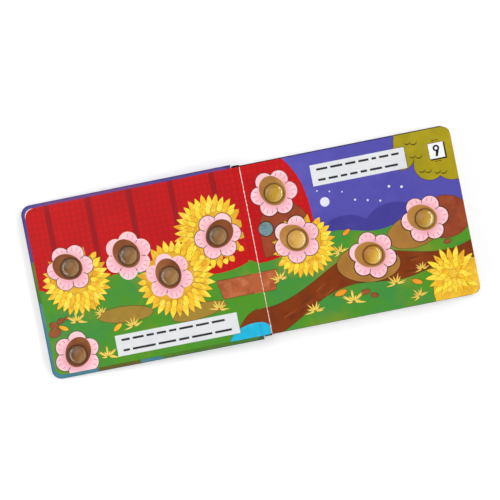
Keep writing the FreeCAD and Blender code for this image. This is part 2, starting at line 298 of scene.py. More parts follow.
def join(tree, shader, colour, roughness=None, height=None, bump=0.3, reach=0.0002):
    if isinstance(colour, bpy.types.NodeSocket):
        tree.links.new(colour, shader.inputs["Base Color"])
    if roughness is not None:
        tree.links.new(roughness, shader.inputs["Roughness"])
    if height is not None:
        node = put(tree, "ShaderNodeBump", {"Height": height, "Strength": bump, "Distance": reach})
        tree.links.new(node.outputs[0], shader.inputs["Normal"])


def add_film(shader):
    """The thin gloss film over print."""
    shader.inputs["Specular IOR Level"].default_value = PAPER_SPECULAR
    shader.inputs["Coat Weight"].default_value = FILM_COAT
    shader.inputs["Coat Roughness"].default_value = FILM_ROUGHNESS


def print_finish(name, colour, shade=None, light=None, size=0.03, shaded=0.4, lit=0.3, extra=None,
                 mottle=0.06):
    """Gloss-laminated print in one ink with lighter and darker patches. extra changes the colour further."""
    material, tree, shader = new_material(name)
    colour = ink(*colour)
    shade = ink(*shade) if shade else (*(0.72 * part for part in colour[:3]), 1.0)
    light = ink(*light) if light else (*(min(1.0, 1.15 * part + 0.01) for part in colour[:3]), 1.0)
    paper = use(tree, printed_paper, Colour=colour, Shade=shade, Light=light, Patch_size=size,
                Shade_strength=shaded, Light_strength=lit, Mottle=mottle)
    tone = paper["Colour"]
    if extra:
        tone = extra(tree, tone)
    join(tree, shader, tone, paper["Roughness"], paper["Height"])
    add_film(shader)
    return material


def checked(tree, tone):
    """Red print with a faint darker check."""
    share = use(tree, check_lines, Pitch=CHECK_PITCH, Width=CHECK_WIDTH)["Share"]
    return mixed(tree, times(tree, share, CHECK_STRENGTH), tone, ink(*dark_red))


def with_halo(reach, dark, near, far, strength):
    """Darkens the print near the poppers. It gives the painted shadow round each dome and the rosy middles
    printed on the petals.
    """
    def extra(tree, tone):
        gap = use(tree, reach)["Distance"]
        share = minus(tree, 1.0, ramp(tree, gap, near, far))
        return mixed(tree, times(tree, share, strength), tone, dark)
    return extra


def with_weave(dark, width, height, strength):
    """Short soft strokes in rows, as of a brush."""
    def extra(tree, tone):
        across = axes(tree)
        row = times(tree, across[1], 1 / height)
        column = plus(tree, times(tree, across[0], 1 / width), times(tree, sums(tree, "FLOOR", row), 0.5))
        lines = [sums(tree, "ABSOLUTE", minus(tree, sums(tree, "FRACT", part), 0.5))
                 for part in (row, column)]
        share = sums(tree, "MAXIMUM", ramp(tree, lines[0], 0.36, 0.5), ramp(tree, lines[1], 0.4, 0.5))
        broken = ramp(tree, noise(tree, 180.0, 2.0), 0.35, 0.6)
        share = times(tree, times(tree, share, broken), strength)
        return mixed(tree, share, tone, dark)
    return extra


# Colours of the print, from 0 to 255
red = (198, 10, 14)
dark_red = (152, 8, 16)
green = (76, 144, 34)
teal_green = (46, 134, 78)
grass_light = (142, 144, 44)
violet = (82, 78, 168)
olive = (166, 148, 18)
dark_brown = (126, 52, 8)
tan = (168, 118, 52)
outline = (70, 34, 18)
stream_shades = (dark_brown, (92, 34, 12), (150, 74, 30))
pot_colour = (178, 92, 52)
pond_colour = (30, 180, 216)


# A painted shadow: a dark ring on the print just round each dome.
def popper_shadow_ring(reach, strength):
    return with_halo(reach, ink(*outline), 0.0102, 0.0125, strength)


# Node, material, then what print_finish takes
FINISHES = (
    ("left_red_stripes", "dark red stripe", dark_red, (146, 14, 22), (186, 28, 30), 0.04),
    ("left_green_field", "left meadow", green, teal_green, grass_light, 0.045, 0.6, 0.7),
    ("left_tan_mounds", "straw ground", (160, 128, 48), (128, 96, 36), (190, 150, 60), 0.02),
    ("left_gold_rosettes", "golden leaves", (226, 168, 40), (196, 128, 28), (246, 208, 70),
     0.012, 0.6, 0.6),
    ("left_terracotta_pot", "clay pot", pot_colour, (140, 60, 32), (206, 128, 84),
     0.01, 0.5, 0.5, None, 0.25),
    ("left_brown_centres", "brown middles", (134, 74, 34), (96, 46, 22), (166, 112, 62),
     0.03, 0.7, 0.7, popper_shadow_ring(left_reach, 0.7)),
    ("left_orange_seeds", "orange seeds", (246, 178, 36), (226, 130, 24), (250, 214, 80), 0.006),
    ("left_cyan_pond", "pond", pond_colour, (20, 140, 196), (110, 214, 232), 0.012),
    ("right_violet_sky", "violet sky", violet, (72, 66, 158), (106, 102, 196), 0.05, 0.5, 0.4),
    ("right_sky_dots", "pale dots", (226, 224, 240)),
    ("right_violet_hills", "far hills", (66, 60, 146), (52, 48, 122), (86, 80, 166), 0.03),
    ("right_green_field", "right meadow", green, teal_green, grass_light, 0.05, 0.6, 0.7),
    ("right_brown_stream", "brown stream", *stream_shades, 0.02),
    ("right_tan_patches", "tan ground", tan, (140, 92, 40), (190, 142, 70), 0.02),
    ("right_brown_hill", "brown hill", (148, 66, 38), (112, 44, 26), (178, 96, 56), 0.012),
    ("right_olive_bush", "olive bush", olive, (140, 132, 24), (192, 178, 44), 0.03, 0.5, 0.4),
    ("right_terracotta_arch", "clay arch", (150, 66, 38), (112, 44, 26), (178, 96, 56), 0.012),
    ("right_teal_window", "round window", (112, 146, 150), (78, 108, 116), (150, 178, 178),
     0.01, 0.4, 0.3, with_weave(ink(58, 86, 96), 0.006, 0.003, 0.8)),
    ("right_gold_rosettes", "right golden leaves", (230, 176, 40), (200, 134, 28), (248, 212, 70),
     0.012, 0.6, 0.6),
    ("right_tan_centres", "tan middles", (176, 124, 58), (140, 88, 40), (204, 158, 88),
     0.03, 0.7, 0.6, popper_shadow_ring(right_reach, 0.6)),
    ("right_orange_seeds", "right orange seeds", (240, 150, 36), (220, 110, 30), (250, 200, 80),
     0.006),
    ("right_gold_mound", "golden mound", (238, 190, 50), (214, 150, 36), (250, 216, 90),
     0.012, 0.5, 0.6),
    ("tile_shadow", "tile edge", (24, 22, 26)),
    ("number_tile", "number tile", (240, 240, 242), (226, 226, 232), (250, 250, 250)),
    ("number_nine", "number", (22, 20, 24)),
)
finishes = {node: print_finish(*values) for node, *values in FINISHES}
for side, wall, reach in (("left", "red wall", left_reach), ("right", "red field", right_reach)):
    petal_halo = with_halo(reach, ink(226, 140, 160), 0.014, 0.021, 0.5)
    finishes[f"{side}_red_field"] = print_finish(wall, red, dark_red, (222, 28, 30),
                                                 0.05, 0.25, 0.3, checked)
    finishes[f"{side}_outlines"] = print_finish(f"{side} drawn outline", outline)
    finishes[f"{side}_pink_blossoms"] = print_finish(f"{side} petals", (248, 200, 208), (238, 170, 186),
                                                     (252, 222, 224), 0.02, 0.4, 0.4, petal_halo)
    finishes[f"{side}_pale_panel"] = print_finish(f"{side} pale panel", (222, 224, 226), (206, 208, 214),
                                                  (234, 236, 236))
    finishes[f"{side}_panel_lines"] = print_finish(f"{side} panel lines", (44, 44, 48))


# The picture on the front cover's wrap, in metres
BOARD_CORNER = 0.0105
SKYLINE = 0.0303
SKYLINE_WAVE = 0.012
SHORE_SPOT = (-0.2334, -0.0094)
SHORE_SLOPE = 0.697
ISLAND_SPOT = (-0.1602, -0.0945, 0.006)
ISLAND_REACH = 0.0235
BLUR = 0.001


def cover_colours(tree):
    """The wrap's picture of plain hills, water and sky, which also runs round the turned-in border."""
    east, north = axes(tree)[:2]
    wave = times(tree, sums(tree, "SINE", times(tree, east, 26.0)), SKYLINE_WAVE)
    sky = ramp(tree, minus(tree, north, plus(tree, wave, SKYLINE)), -BLUR, BLUR)
    shore_east, shore_north = SHORE_SPOT
    shore = plus(tree, minus(tree, north, shore_north),
                 times(tree, minus(tree, east, shore_east), SHORE_SLOPE))
    water = ramp(tree, shore, BLUR, -BLUR)
    land = ramp(tree, distance(tree, place(tree), ISLAND_SPOT), ISLAND_REACH + BLUR, ISLAND_REACH - BLUR)
    hills = patchy(tree, 22.0, ink(78, 132, 44), ink(120, 134, 52))
    waves = patchy(tree, 30.0, ink(72, 140, 160), ink(96, 148, 156))
    picture = mixed(tree, water, hills, waves)
    picture = mixed(tree, land, picture, ink(112, 104, 36))
    purple = patchy(tree, 16.0, ink(84, 72, 148), ink(110, 74, 142))
    tone = mixed(tree, sky, picture, purple)
    gaps = []
    for spot, middle, half in ((east, (board_low.x + board_high.x) / 2, (board_high.x - board_low.x) / 2),
                               (north, 0.0, board_high.y)):
        away = sums(tree, "ABSOLUTE", minus(tree, spot, middle))
        gaps.append(sums(tree, "MAXIMUM", minus(tree, away, half - BOARD_CORNER), 0.0))
    reach = sums(tree, "SQRT", plus(tree, times(tree, gaps[0], gaps[0]),
                                    times(tree, gaps[1], gaps[1])))
    edge = ramp(tree, reach, BOARD_CORNER - 0.0016, BOARD_CORNER - 0.0004)
    return mixed(tree, times(tree, edge, 0.6), tone, ink(50, 42, 88))


def patchy(tree, scale, first, second):
    """Two colours in soft patches."""
    return mixed(tree, ramp(tree, noise(tree, scale, 2.0), 0.4, 0.65), first, second)


def wrap_finish(name, colours, mottle=0.06, scuff=0.25, worn=0.5):
    """Gloss-laminated paper with worn spots. The function colours gives its print."""
    material, tree, shader = new_material(name)
    tone = colours(tree)
    paper = use(tree, printed_paper, Colour=tone, Shade=tone, Light=tone, Shade_strength=0.0,
                Light_strength=0.0, Mottle=mottle)
    share = times(tree, use(tree, scuffs, Amount=scuff, Size=0.004)["Share"], worn)
    join(tree, shader, mixed(tree, share, paper["Colour"], paper_white), paper["Roughness"], paper["Height"])
    add_film(shader)
    return material


def back_colours_with_painted_shade(tree):
    """The back wrap: deep violet over a band of dark brown at the tail, near black, the cover's own colours
    darkened with painted shade of the page block's shadow.
    """
    edge = ramp(tree, plus(tree, axes(tree)[1], 0.06), -0.004, 0.004)
    return mixed(tree, edge, ink(56, 30, 20), ink(16, 10, 36))


cover_wrap = wrap_finish("front cover wrap", cover_colours)
# The back wrap's near-black colours hold painted shade as well as the cover's own colour.
back_wrap = wrap_finish("back cover wrap", back_colours_with_painted_shade, scuff=0.2, worn=0.4)
for name in ("front_cover_board", "border_purple", "border_green", "border_teal", "border_olive"):
    finishes[name] = cover_wrap
finishes["back_cover_board"] = back_wrap


def card_finish():
    """White card seen on its cut edges: fine layers, fibres and slight greying."""
    material, tree, shader = new_material("cut card")
    stretched = put(tree, "ShaderNodeMapping", {"Vector": place(tree), "Scale": CARD_LAYERS}).outputs[0]
    layers = noise(tree, 1.0, 3.0, stretched, 0.6)
    fibres = noise(tree, 900.0, 2.0)
    tone = mixed(tree, ramp(tree, layers, 0.35, 0.7), ink(240, 236, 228), ink(206, 200, 190))
    tone = mixed(tree, times(tree, ramp(tree, fibres, 0.5, 0.8), 0.3), tone, ink(180, 172, 160))
    join(tree, shader, tone, ramp(tree, fibres, -1.0, 1.2), layers, 0.4, 0.0003)
    shader.inputs["Specular IOR Level"].default_value = PAPER_SPECULAR
    return material


CARD_LAYERS = (60.0, 60.0, 2600.0)
card = card_finish()
finishes["first_leaf"] = card
finishes["page_block"] = card


# Drawn details: thin printed shapes that lie on the print, in millimetres until they are laid down

INK_THICKNESS = 0.02
LAYER = 0.006
LEAF_FULLNESS = 1.5


def add_round(bm, x, y, half_length, half_width, turn=0.0, lift=0, segments=20, shape=None):
    """A flat round face at a page spot, in millimetres. shape moves each vertex of the unit circle first."""
    made = bmesh.ops.create_circle(bm, cap_ends=True, radius=1.0, segments=segments)["verts"]
    if shape:
        for vert in made:
            shape(vert.co)
    turned = Matrix.Rotation(math.radians(turn), 4, "Z") @ Matrix.Diagonal((half_length, half_width, 1, 1))
    bmesh.ops.transform(bm, matrix=Matrix.Translation((x, y, lift * LAYER)) @ turned, verts=made)


def pointed(co):
    """Draws a unit circle out to a point on its right."""
    co.y *= math.sqrt(max(0.0, 1.0 - co.x) / 2)


def spot_at(x, y, reach, turn):
    """The spot that lies reach away from x, y, towards turn in degrees."""
    angle = math.radians(turn)
    return x + reach * math.cos(angle), y + reach * math.sin(angle)


def add_leaf(bm, x, y, length, width, turn, lift=0, grow=0.0):
    """A pointed leaf from its foot at x, y, towards turn."""
    reach = length / 2
    add_round(bm, *spot_at(x, y, reach, turn), reach + grow, width / 2 * LEAF_FULLNESS + grow, turn, lift,
              16, pointed)


def add_arc(bm, x, y, radius, width, start, end, lift=0, segments=10):
    """A stroke round x, y that thins out to its ends."""
    made = bmesh.ops.create_grid(bm, x_segments=segments, y_segments=1, size=0.5)["verts"]
    for vert in made:
        share = vert.co.x + 0.5
        angle = math.radians(start + (end - start) * share)
        away = radius + vert.co.y * width * (0.25 + 0.75 * math.sin(math.pi * share))
        vert.co = (x + away * math.cos(angle), y + away * math.sin(angle), lift * LAYER)


def add_bar(bm, x, y, length, height, lift=0, slant=0.0):
    """A flat bar from its lower left corner. slant lengthens its upper side."""
    made = bmesh.ops.create_grid(bm, x_segments=1, y_segments=1, size=0.5)["verts"]
    for vert in made:
        up = vert.co.y + 0.5
        out = vert.co.x + 0.5
        vert.co = (x + out * (length + slant * up), y + up * height, lift * LAYER)


def mesh_of(bm, name):
    mesh = bpy.data.meshes.new(name)
    bm.to_mesh(mesh)
    bm.free()
    return mesh


def lay_ink(bm, name, left, material):
    """Gives drawn shapes their thickness and lays them on their page."""
    bmesh.ops.remove_doubles(bm, verts=bm.verts[:], dist=1e-4)
    bmesh.ops.recalc_face_normals(bm, faces=bm.faces[:])
    for face in bm.faces:
        if face.normal.z < 0:
            face.normal_flip()
    top = bmesh.ops.extrude_face_region(bm, geom=bm.faces[:], use_keep_orig=True)["geom"]
    raised = {part for part in top if isinstance(part, bmesh.types.BMVert)}
    bmesh.ops.translate(bm, verts=list(raised), vec=(0, 0, INK_THICKNESS))
    low = [face for face in bm.faces if raised.isdisjoint(face.verts)]
    bmesh.ops.reverse_faces(bm, faces=low)
    bmesh.ops.scale(bm, vec=(MM, MM, MM), verts=bm.verts[:])
    bmesh.ops.translate(bm, verts=bm.verts[:], vec=(0, 0, page_top))
    if left:
        bmesh.ops.transform(bm, matrix=lay_open, verts=bm.verts[:])
    return settle(mesh_of(bm, name), name, "front_cover" if left else "pages", material)


def placed(name, data):
    """A new object in the scene."""
    thing = bpy.data.objects.new(name, data)
    bpy.context.scene.collection.objects.link(thing)
    return thing


def settle(mesh, name, body, material):
    """Makes a piece of the mesh and material, and lets it ride on its body if it has one."""
    piece = placed(name, mesh)
    mesh.materials.append(material)
    if body:
        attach(piece, body)
    return piece


def page_mm(spot):
    return spot.x / MM, spot.y / MM


def on_page(x, y, left, room=1.0):
    """Whether a spot, in millimetres, is on its page with this much room to the edge."""
    low = left_level_x if left else fold_x / MM
    high = inner_x / MM if left else fore_x / MM
    return low + room < x < high - room and tail_y / MM + room < y < head_y / MM - room


def clear_of(x, y, left, reach):
    """Whether a spot is at least reach from every popper's middle."""
    spots = left_spots if left else right_spots
    return all(math.dist((x, y), page_mm(spot)) > reach for spot in spots)


# The ovals round the poppers, and the petals round the ovals. True stands for the left page
OVAL_OFFSET = 3.0
OVAL_LENGTH = 17.2
OVAL_WIDTH = 14.2
OVAL_TURNS = {True: (150, 120, 100, 40, 60), False: (110, 140, 160, 150)}
PETALS = 6
HALF_PETAL = 30.0
BLOSSOM_TURN = 20.0
BLOSSOM_REACH = 25.7
NOTCH_FOOT = 12.8
NOTCH_REACH = 19.2
SHORTEST_NOTCH = 1.5

# A petal's soft strokes: turn from its middle, start and length
STROKES = ((-14.0, 18.0, 4.6), (0.0, 19.0, 5.6), (14.0, 18.0, 4.6))


def inside(oval, x, y):
    """Whether a spot is in an oval given by its middle, half length, half width and turn."""
    away = Matrix.Rotation(math.radians(-oval[4]), 2) @ Vector((x - oval[0], y - oval[1]))
    return math.hypot(away.x / oval[2], away.y / oval[3]) < 1.0


def petal_details(left):
    """Soft strokes on the petals, and the notches between them."""
    lines = bmesh.new()
    blush = bmesh.new()
    spots = left_spots if left else right_spots
    for k, spot in enumerate(spots):
        x, y = page_mm(spot)
        lean = OVAL_TURNS[left][k]
        oval = (*spot_at(x, y, OVAL_OFFSET, lean), OVAL_LENGTH, OVAL_WIDTH, lean)
        for petal in range(PETALS):
            turn = BLOSSOM_TURN * k + 2 * HALF_PETAL * petal
            notch = turn + HALF_PETAL
            tip = spot_at(x, y, NOTCH_REACH, notch)
            foot = NOTCH_FOOT
            while inside(oval, *spot_at(x, y, foot, notch)):
                foot += 0.4
            if NOTCH_REACH - foot > SHORTEST_NOTCH and on_page(*tip, left):
                add_leaf(lines, *tip, NOTCH_REACH - foot, 0.7, notch + 180.0, 2)
            for side, start, length in STROKES:
                base = spot_at(x, y, start, turn + side)
                if not inside(oval, *base) and on_page(*spot_at(*base, 5, turn + side), left):
                    add_leaf(blush, *base, length, 0.8, turn + side, 2)
    side = "left" if left else "right"
    lay_ink(lines, f"{side}_petal_notches", left, finishes[f"{side}_outlines"])
    lay_ink(blush, f"{side}_petal_strokes", left, petal_stroke)


petal_stroke = print_finish("petal strokes", (224, 136, 158))
leaf_gold = print_finish("leaf gold", (244, 192, 44), (222, 142, 30), (252, 226, 84),
                         0.009, 0.7, 0.7)
leaf_yellow = print_finish("leaf yellow", (252, 220, 60), (240, 184, 40), (255, 236, 110),
                           0.009, 0.6, 0.6)
leaf_edge = print_finish("leaf edge", (158, 92, 24))
bush_stroke = print_finish("bush strokes", (86, 78, 18))
straw_print = print_finish("straw", (244, 214, 96), (226, 176, 60), (250, 232, 140), 0.006)


SHORTEST_LEAF = 6.5
TIP_STEP = 1.6
LEAF_EDGE = 0.3


def leaf_rings(left, rings, name):
    """Rings of overlapping pointed leaves, every other one shorter by a step.

    Each ring is x, y, the tips' reach, count, length, width and first turn.
    """
    edges = bmesh.new()
    darker = bmesh.new()
    lighter = bmesh.new()
    for ring_number, (x, y, reach, count, length, width, first) in enumerate(rings):
        for k in range(count):
            turn = first + 360.0 * k / count
            tip = reach - TIP_STEP * (k % 2)
            tip_spot = spot_at(x, y, tip, turn)
            if not on_page(*tip_spot, left) or not clear_of(*tip_spot, left, BLOSSOM_REACH):
                continue
            foot = tip - length
            while foot < tip and not clear_of(*spot_at(x, y, foot, turn), left, BLOSSOM_REACH - 0.4):
                foot += 0.5
            if tip - foot < SHORTEST_LEAF:
                continue
            foot_spot = spot_at(x, y, foot, turn)
            lift = 2 * (4 * ring_number + (k % 2 if k < count - 1 else 2))
            add_leaf(edges, *foot_spot, tip - foot, width, turn, lift, LEAF_EDGE)
            tone = lighter if (k + ring_number) % 2 else darker
            add_leaf(tone, *foot_spot, tip - foot, width, turn, lift + 1)
    lay_ink(edges, f"{name}_edges", left, leaf_edge)
    lay_ink(darker, f"{name}_gold", left, leaf_gold)
    lay_ink(lighter, f"{name}_yellow", left, leaf_yellow)


def leaf_wheel(x, y, reach, turn):
    """Three rings of leaves over a printed star of that reach."""
    return [(x, y, reach + 0.5, 32, 14, 5.4, turn), (x, y, reach - 5.5, 28, 12, 5.0, turn + 4),
            (x, y, reach - 11, 24, 11, 4.6, turn + 9)]


petal_details(True)
petal_details(False)
one, three, four = (page_mm(left_spots[k]) for k in (0, 2, 3))
seven = page_mm(right_spots[1])
leaf_rings(True, leaf_wheel(four[0] - 6, four[1] + 6, 40, 4) + leaf_wheel(three[0] + 6, three[1] - 4, 42, 7)
           + leaf_wheel(one[0] + 4, one[1] - 15, 37, 0), "left_leaves")
leaf_rings(False, leaf_wheel(seven[0] + 6, seven[1] - 8, 34, 5) + [
    (207, -65, 30, 20, 14, 5, 0), (207, -65, 23, 18, 13, 5, 8),
    (207, -65, 15, 12, 9, 5, 0), (207, -65, 9.5, 8, 6, 4.4, 20),
], "right_leaves")


STRAWS = 11
STRAW_FAN = 200.0
STRAW_SHARE = 0.16


def straw_tufts(left, places, name):
    """Small loose fans of straw. Each place is x, y, the size and the first turn."""
    edges = bmesh.new()
    straws = bmesh.new()
    for x, y, size, first in places:
        for k in range(STRAWS):
            turn = first + STRAW_FAN * k / STRAWS + 7.0 * math.sin(4.0 * k)
            length = size * (1.0 + 0.35 * math.sin(2.1 * k + first))
            width = STRAW_SHARE * size
            foot = spot_at(x, y, width, turn)
            add_leaf(edges, *foot, length, width, turn, 2 + 2 * k, 0.25)
            add_leaf(straws, *foot, length, width, turn, 3 + 2 * k)
    lay_ink(edges, f"{name}_edges", left, leaf_edge)
    lay_ink(straws, name, left, straw_print)


straw_tufts(True, [(-196, -38, 9, -10), (-168, -34, 6, 30), (-137, -54, 8, 5), (-44, -54, 8, -20),
                   (-170, -81, 9, -10)], "left_straw")
straw_tufts(False, [(26, -36, 8, 10), (98, -74, 10, -10), (146, -64, 8, 0), (176, -54, 6, 5),
                    (94, -20, 7, 20), (56, -76, 8, 0), (168, -82, 7, 20)], "right_straw")


def bush_arcs():
    """Rows of scallops on the olive bush."""
    bm = bmesh.new()
    for x, y in ((186, 82), (189, 67), (212, 46), (196, 50)):
        for k in range(2):
            reach = 3.2 + 0.5 * (k % 2)
            add_arc(bm, x + 6.6 * k, y - 1.0 * k, reach, 1.4, 195, 350, 2 + k % 2)
    lay_ink(bm, "bush_strokes", False, bush_stroke)


def ripples():
    """Long soft strokes along the brown stream."""
    dark = bmesh.new()
    pale = bmesh.new()
    runs = [(22, -76, 18, 22), (42, -66, 20, 28), (60, -56, 16, 30), (160, -40, 18, 2),
            (176, -48, 16, 4), (38, -75, 14, 30), (70, -62, 14, 34), (158, -53, 12, -4)]
    for k, (x, y, length, turn) in enumerate(runs):
        add_leaf(dark if k % 2 else pale, x, y, length, 1.0, turn, 2)
        add_leaf(pale if k % 2 else dark, x + 5, y - 2.6, 0.6 * length, 0.8, turn, 2)
    lay_ink(dark, "stream_dark", False, drawn_line)
    lay_ink(pale, "stream_pale", False, stream_pale)


def outline_of(node, width, slot):
    """A drawn line along the edge of a printed shape, from the shape's own mesh."""
    left = node.startswith("left")
    piece = nodes[node]
    bm = bmesh.new()
    bm.from_mesh(piece.data)
    bmesh.ops.transform(bm, matrix=(lay_level if left else Matrix()) @ piece.matrix_world, verts=bm.verts[:])
    bmesh.ops.remove_doubles(bm, verts=bm.verts[:], dist=0.002 * MM)
    bm.normal_update()
    lower = [face for face in bm.faces if face.normal.z < 0.7]
    bmesh.ops.delete(bm, geom=lower, context="FACES")
    bmesh.ops.scale(bm, vec=(1 / MM, 1 / MM, 0), verts=bm.verts[:])
    bm.normal_update()
    painted_rim_shade = set(bmesh.ops.inset_region(bm, faces=bm.faces[:], use_boundary=True, use_even_offset=True,
                                     thickness=width)["faces"])
    rest = [face for face in bm.faces if face not in painted_rim_shade]
    bmesh.ops.delete(bm, geom=rest, context="FACES")
    middles = {face: face.calc_center_median()[:2] for face in bm.faces}
    stray = [face for face, spot in middles.items()
             if not clear_of(*spot, left, OUTLINE_CLEARANCE) or not on_page(*spot, left, OUTLINE_MARGIN)]
    bmesh.ops.delete(bm, geom=stray, context="FACES")
    bmesh.ops.translate(bm, verts=bm.verts[:], vec=(0, 0, LAYER))
    lay_ink(bm, f"{node}_line", left, drawn_line)


BAR_LENGTH = 3.0
BAR_PITCH = 3.8


def tile_bars():
    """Two short plain bars, above and below the number."""
    bm = bmesh.new()
    low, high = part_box("number_tile")
    middle = (low.x + high.x) / 2 / MM
    for y in (high.y / MM + 2.4, low.y / MM - 3.6):
        for k in range(2):
            add_bar(bm, middle - (BAR_LENGTH + BAR_PITCH) / 2 + BAR_PITCH * k, y, BAR_LENGTH, 0.9, 2)
    lay_ink(bm, "tile_bars", False, drawn_line)


POT_END_LENGTH = 13.0
POT_END_SLANT = 5.0


def pot_end():
    """The clay pot's end, which reaches over the fold."""
    low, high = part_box("left_terracotta_pot")
    height = (high.y - low.y) / MM
    clay = finishes["left_terracotta_pot"]
    for name, grow, lift, slot, material in (("pot_end_line", 0.5, 1, "dark_brown_print", drawn_line),
                                             ("pot_end", 0.0, 2, "terracotta_print", clay)):
        bm = bmesh.new()
        add_bar(bm, fold_x / MM + 0.1, low.y / MM - grow, POT_END_LENGTH + grow, height + 2 * grow, lift,
                POT_END_SLANT)
        lay_ink(bm, name, False, material)


def splashes(left, places, name):
    """Clusters of brown drops with one drawn line round each cluster.

    Each place is x, y, the half length, the half width and the turn.
    """
    edges = bmesh.new()
    drops = bmesh.new()
    for k, (x, y, half_length, half_width, turn) in enumerate(places):
        add_round(edges, x, y, half_length + 0.5, half_width + 0.5, turn, 2 + k)
        add_round(drops, x, y, half_length, half_width, turn, 2 + len(places) + k)
    lay_ink(edges, f"{name}_line", left, drawn_line)
    lay_ink(drops, name, left, mud)


# The pond's oval, and the soil behind it: its start, its height at the fold and its fall from there
POND = (-15.0, -88.35, 24.0, 13.0, math.radians(10.0))
SOIL_START = -26.3
SOIL_TOP = -62.0
SOIL_FALL = 15.6


def pond_top(x):
    """The height of the pond's upper edge, an oval turned about its middle."""
    middle_x, middle_y, half_length, half_width, turn = POND
    out = x - middle_x
    spread = (half_length * math.cos(turn)) ** 2 + (half_width * math.sin(turn)) ** 2
    rise = (half_length ** 2 - half_width ** 2) * math.sin(turn) * math.cos(turn) * out
    return middle_y + (rise + half_length * half_width * math.sqrt(spread - out ** 2)) / spread


def soil_bank():
    """Brown soil behind the pond, up to the fold."""
    for name, grow, lift, slot, material in (("soil_line", 0.5, 1, "dark_brown_print", drawn_line),
                                             ("soil_bank", 0.0, 2, "brown_print", bank_soil)):
        bm = bmesh.new()
        made = bmesh.ops.create_grid(bm, x_segments=24, y_segments=1, size=0.5)["verts"]
        for vert in made:
            share = vert.co.x + 0.5
            x = SOIL_START + (inner_x / MM - SOIL_START) * share
            low_y = pond_top(x)
            high_y = SOIL_TOP - SOIL_FALL * (1 - share) ** 2 + grow
            vert.co = (x, low_y if vert.co.y < 0 else max(high_y, low_y + 0.1), lift * LAYER)
        lay_ink(bm, name, True, material)


OUTLINE_CLEARANCE = 14.0
OUTLINE_MARGIN = 0.8

drawn_line = print_finish("drawn line", (84, 44, 22), (66, 34, 18), (104, 58, 30), 0.01)
stream_pale = print_finish("stream light", (156, 78, 34), (140, 64, 26), (172, 94, 46), 0.01)
mud = print_finish("mud", (150, 82, 44), (122, 58, 28), (172, 104, 60), 0.012, 0.6, 0.5)
splashes(True, [(-221.5, -45, 6.5, 4.6, 10), (-221, -37, 5, 3.4, -20), (-213, -33.5, 4, 2.6, 20),
                (-205.5, -32, 2.6, 1.8, 10)], "left_mud")
splashes(False, [(112, -66, 5, 2.6, 10), (121, -71, 4, 2.4, -15), (208, -30, 4, 2.2, 5)], "right_mud")
bank_soil = print_finish("bank soil", *stream_shades, 0.02)
soil_bank()
bush_arcs()
ripples()
tile_bars()
pot_end()
OUTLINED = (
    ("left_tan_mounds", 0.45, "tan_print"), ("left_terracotta_pot", 0.5, "terracotta_print"),
    ("left_cyan_pond", 0.4, "cyan_print"), ("left_orange_seeds", 0.35, "orange_print"),
    ("right_brown_stream", 0.5, "brown_print"), ("right_tan_patches", 0.45, "tan_print"),
    ("right_brown_hill", 0.5, "brown_print"), ("right_olive_bush", 0.5, "olive_print"),
    ("right_terracotta_arch", 0.5, "terracotta_print"), ("right_teal_window", 0.6, "teal_grey_print"),
    ("right_gold_mound", 0.45, "gold_print"), ("right_orange_seeds", 0.35, "orange_print"),
)
for row in OUTLINED:
    outline_of(*row)


# The fold: one sheet of printed card across the fold, cut into steps, with dark spine paper behind it

# What the print over the fold shows, in metres
FIELD_FOOT = 0.0088
FIELD_FALL = 0.0042
SOIL_HEIGHT = 0.062
POND_SPOT = (-0.015, -0.0883)
POND_HALF = (0.0212, 0.013)
POND_LEAN = 0.17
POT_REACH = (-0.0448, -0.0238)


def fold_colours(tree):
    """The print that runs over the fold: red field, grass, pot, soil and pond."""
    east, north = axes(tree)[:2]
    share = ramp(tree, east, -0.003, 0.0063)
    skyline = minus(tree, times(tree, share, -FIELD_FALL), FIELD_FOOT)
    field = ramp(tree, minus(tree, north, skyline), -0.0004, 0.0004)
    soil_top = minus(tree, times(tree, share, 0.0008), SOIL_HEIGHT)
    soil = ramp(tree, minus(tree, north, soil_top), 0.0005, -0.0005)
    away = minus(tree, east, POND_SPOT[0])
    pond_east = sums(tree, "DIVIDE", away, POND_HALF[0])
    pond_north = minus(tree, minus(tree, north, POND_SPOT[1]), times(tree, away, POND_LEAN))
    pond_north = sums(tree, "DIVIDE", pond_north, POND_HALF[1])
    pond_gap = plus(tree, times(tree, pond_east, pond_east), times(tree, pond_north, pond_north))
    pond = ramp(tree, pond_gap, 1.04, 0.96)
    above_foot = ramp(tree, minus(tree, north, POT_REACH[0]), -0.0003, 0.0003)
    under_rim = ramp(tree, minus(tree, north, POT_REACH[1]), 0.0003, -0.0003)
    lower = mixed(tree, soil, ink(*green), ink(*dark_brown))
    lower = mixed(tree, times(tree, above_foot, under_rim), lower, ink(*pot_colour))
    lower = mixed(tree, pond, lower, ink(*pond_colour))
    return mixed(tree, field, lower, checked(tree, ink(*red)))


def sheet_along_fold(name, x_low, x_high, y_low, y_high, bottom, top, steps):
    """A closed sheet across the fold, with enough steps to bend."""
    bm = bmesh.new()
    made = bmesh.ops.create_cube(bm, size=1.0)["verts"]
    middle = Matrix.Translation(((x_low + x_high) / 2, (y_low + y_high) / 2, (bottom + top) / 2))
    size = Matrix.Diagonal((x_high - x_low, y_high - y_low, top - bottom, 1))
    bmesh.ops.transform(bm, verts=made, matrix=middle @ size)
    for k in range(1, steps):
        x = x_low + (x_high - x_low) * k / steps
        bmesh.ops.bisect_plane(bm, geom=bm.verts[:] + bm.edges[:] + bm.faces[:], plane_co=(x, 0, 0),
                               plane_no=(1, 0, 0))
    return mesh_of(bm, name)


